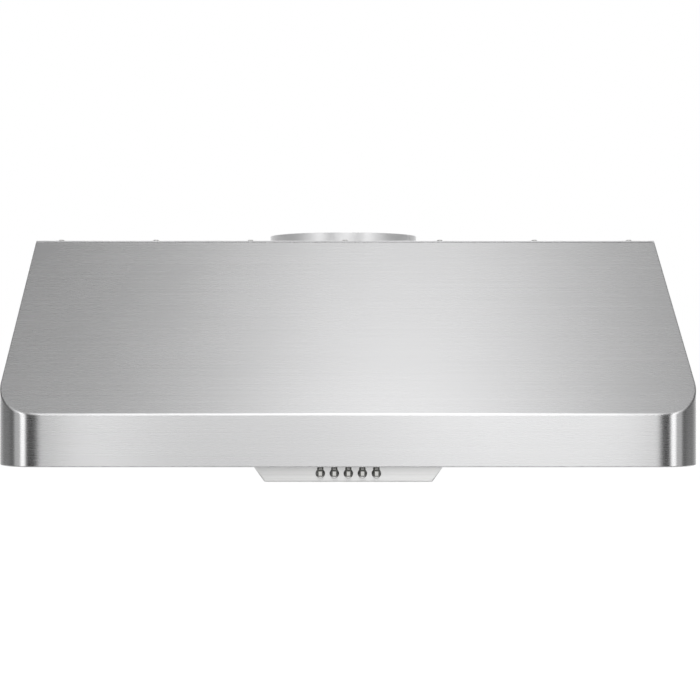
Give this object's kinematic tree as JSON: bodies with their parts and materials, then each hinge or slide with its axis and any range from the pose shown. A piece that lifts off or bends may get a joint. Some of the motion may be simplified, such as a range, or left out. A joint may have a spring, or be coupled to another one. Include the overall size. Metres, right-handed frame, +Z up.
{
  "type": "under cabinet range hood",
  "caption": "Stainless under cabinet range hood with a sloping front, rounded fascia corners, a round top collar, push keys, lamps and drop-down baffle filters.",
  "frame": {"origin": "middle of the top rear edge, where the wall meets the underside of the cabinet; the centre line of the hood", "axes": "+X along the width of the hood, to the right of someone facing its front; +Y into the wall behind it, so the front faces -Y; +Z up into the cabinet above it"},
  "size_m": [0.756, 0.558, 0.286],
  "materials": {
    "brushed_stainless": "brushed",
    "galvanised_steel": "galvanised",
    "plated_keys": "bright plated",
    "zinc_screws": "zinc plated",
    "cast_aluminium": "as cast",
    "black_plastic": "moulded",
    "grey_cable": "sheathed",
    "frosted_lens": "frosted",
    "white_capacitor": "moulded"
  },
  "bodies": {
    "hood": {"slope_panel": "brushed_stainless", "front_fascia": "brushed_stainless", "side_panel_left": "brushed_stainless", "side_panel_right": "brushed_stainless", "top_plate": "brushed_stainless", "back_panel": "brushed_stainless", "duct_collar": "brushed_stainless", "control_box": "brushed_stainless", "bottom_pan": "brushed_stainless", "filter_ledge": "brushed_stainless", "filter_catch_left": "brushed_stainless", "filter_catch_right": "brushed_stainless", "rear_outlet_cover": "galvanised_steel", "blower_scroll": "galvanised_steel", "blower_side_left": "galvanised_steel", "blower_side_right": "galvanised_steel", "motor_bracket": "galvanised_steel", "junction_box": "galvanised_steel", "junction_box_cover": "galvanised_steel", "lamp_trim_left": "plated_keys", "lamp_trim_right": "plated_keys", "ridge_screw_1": "zinc_screws", "ridge_screw_2": "zinc_screws", "ridge_screw_3": "zinc_screws", "ridge_screw_4": "zinc_screws", "ridge_screw_5": "zinc_screws", "ridge_screw_6": "zinc_screws", "ridge_screw_7": "zinc_screws", "collar_screw_1": "zinc_screws", "collar_screw_2": "zinc_screws", "collar_screw_3": "zinc_screws", "collar_screw_4": "zinc_screws", "damper_rod": "zinc_screws", "motor": "cast_aluminium", "lamp_body_left": "cast_aluminium", "lamp_body_right": "cast_aluminium", "cable_gland": "black_plastic", "switch_block": "black_plastic", "wire_switch": "grey_cable", "wire_motor": "grey_cable", "wire_lamp_left": "grey_cable", "wire_lamp_right": "grey_cable", "lamp_lens_left": "frosted_lens", "lamp_lens_right": "frosted_lens", "capacitor": "white_capacitor"},
    "wheel": {"fan_wheel": "galvanised_steel", "motor_shaft": "zinc_screws"},
    "flap_front": {"damper_flap_front": "galvanised_steel"},
    "flap_rear": {"damper_flap_rear": "galvanised_steel"},
    "filter_left": {"filter_frame_left": "brushed_stainless", "filter_baffles_left": "brushed_stainless"},
    "filter_right": {"filter_frame_right": "brushed_stainless", "filter_baffles_right": "brushed_stainless"},
    "latch_left": {"filter_latch_left": "plated_keys"},
    "latch_right": {"filter_latch_right": "plated_keys"},
    "key_light": {"key_light": "plated_keys"},
    "key_off": {"key_off": "plated_keys"},
    "key_low": {"key_low": "plated_keys"},
    "key_medium": {"key_medium": "plated_keys"},
    "key_high": {"key_high": "plated_keys"}
  },
  "joints": [
    {"name": "key_light_press", "type": "slide", "parent": "hood", "child": "key_light", "axis": [0, 1, 0], "range_m": [0, 0.003], "stiffness_N_per_m": 350, "springref_m": -0.002},
    {"name": "key_off_press", "type": "slide", "parent": "hood", "child": "key_off", "axis": [0, 1, 0], "range_m": [0, 0.003], "stiffness_N_per_m": 350, "springref_m": -0.002},
    {"name": "key_low_press", "type": "slide", "parent": "hood", "child": "key_low", "axis": [0, 1, 0], "range_m": [0, 0.003], "stiffness_N_per_m": 350, "springref_m": -0.002},
    {"name": "key_medium_press", "type": "slide", "parent": "hood", "child": "key_medium", "axis": [0, 1, 0], "range_m": [0, 0.003], "stiffness_N_per_m": 350, "springref_m": -0.002},
    {"name": "key_high_press", "type": "slide", "parent": "hood", "child": "key_high", "axis": [0, 1, 0], "range_m": [0, 0.003], "stiffness_N_per_m": 350, "springref_m": -0.002},
    {"name": "wheel_spin", "type": "hinge", "parent": "hood", "child": "wheel", "pos_m": [0, -0.202, -0.125], "axis": [1, 0, 0], "continuous": true},
    {"name": "flap_front_swing", "type": "hinge", "parent": "hood", "child": "flap_front", "pos_m": [0, -0.15, 0.008], "axis": [-1, 0, 0], "range_deg": [0, 75]},
    {"name": "flap_rear_swing", "type": "hinge", "parent": "hood", "child": "flap_rear", "pos_m": [0, -0.15, 0.008], "axis": [1, 0, 0], "range_deg": [0, 75]},
    {"name": "filter_left_drop", "type": "hinge", "parent": "hood", "child": "filter_left", "pos_m": [-0.175, -0.0865, -0.23], "axis": [1, 0, 0], "range_deg": [0, 70]},
    {"name": "latch_left_slide", "type": "slide", "parent": "filter_left", "child": "latch_left", "axis": [0, 1, 0], "range_m": [0, 0.005], "stiffness_N_per_m": 300, "springref_m": -0.003},
    {"name": "filter_right_drop", "type": "hinge", "parent": "hood", "child": "filter_right", "pos_m": [0.175, -0.0865, -0.23], "axis": [1, 0, 0], "range_deg": [0, 70]},
    {"name": "latch_right_slide", "type": "slide", "parent": "filter_right", "child": "latch_right", "axis": [0, 1, 0], "range_m": [0, 0.005], "stiffness_N_per_m": 300, "springref_m": -0.003}
  ]
}
